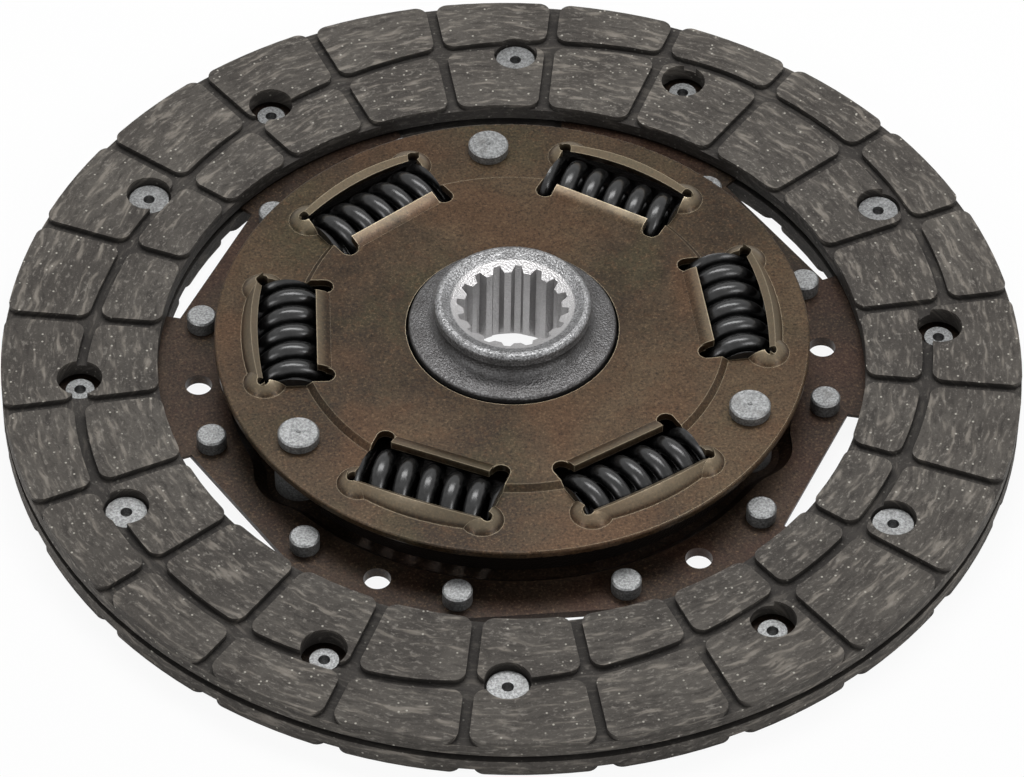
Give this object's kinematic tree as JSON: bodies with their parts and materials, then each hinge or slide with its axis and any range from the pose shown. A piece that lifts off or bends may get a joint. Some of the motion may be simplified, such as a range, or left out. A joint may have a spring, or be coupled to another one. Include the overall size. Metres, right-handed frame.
{
  "type": "clutch disc",
  "caption": "Clutch disc with grooved friction rings riveted to a waved steel disc, and a splined hub that turns a little against coil springs in the windows of two side plates",
  "frame": {"origin": "centre of the lower friction face, on the spline axis", "axes": "+Z runs along the spline axis, out of the side where the long end of the hub stands out; +X points along the middle between two neighbouring pairs of plate rivets"},
  "size_m": [0.19, 0.19, 0.0221],
  "materials": {
    "friction_lining": "dry woven friction lining, dark olive grey with paler threads",
    "oiled_steel": "oiled blackened sheet steel",
    "cover_steel": "oiled sheet steel with a brown bronze tone",
    "forged_steel": "dull grey forged steel",
    "spring_steel": "glossy black spring steel",
    "zinc_plated_steel": "matte light grey plated steel",
    "washer_plastic": "dark friction plastic"
  },
  "bodies": {
    "disc": {"upper_facing": "friction_lining", "lower_facing": "friction_lining", "cushion_disc": "oiled_steel", "carrier_plate": "oiled_steel", "cover_plate": "cover_steel", "damper_spring_1": "spring_steel", "damper_spring_2": "spring_steel", "damper_spring_3": "spring_steel", "damper_spring_4": "spring_steel", "damper_spring_5": "spring_steel", "damper_spring_6": "spring_steel", "stop_pin_1": "zinc_plated_steel", "stop_pin_2": "zinc_plated_steel", "stop_pin_3": "zinc_plated_steel", "upper_facing_rivets": "zinc_plated_steel", "lower_facing_rivets": "zinc_plated_steel", "plate_rivets": "zinc_plated_steel", "friction_washer_upper": "washer_plastic", "friction_washer_lower": "washer_plastic", "pressure_ring": "oiled_steel", "cone_spring": "spring_steel"},
    "hub": {"hub": "forged_steel"}
  },
  "joints": [
    {"name": "hub_twist", "type": "hinge", "parent": "disc", "child": "hub", "pos_m": [0, 0, 0.0085], "axis": [0, 0, 1], "range_deg": [-7, 7], "stiffness_Nm_per_rad": 10, "deforming": ["damper_spring_1", "damper_spring_2", "damper_spring_3", "damper_spring_4", "damper_spring_5", "damper_spring_6"]}
  ]
}
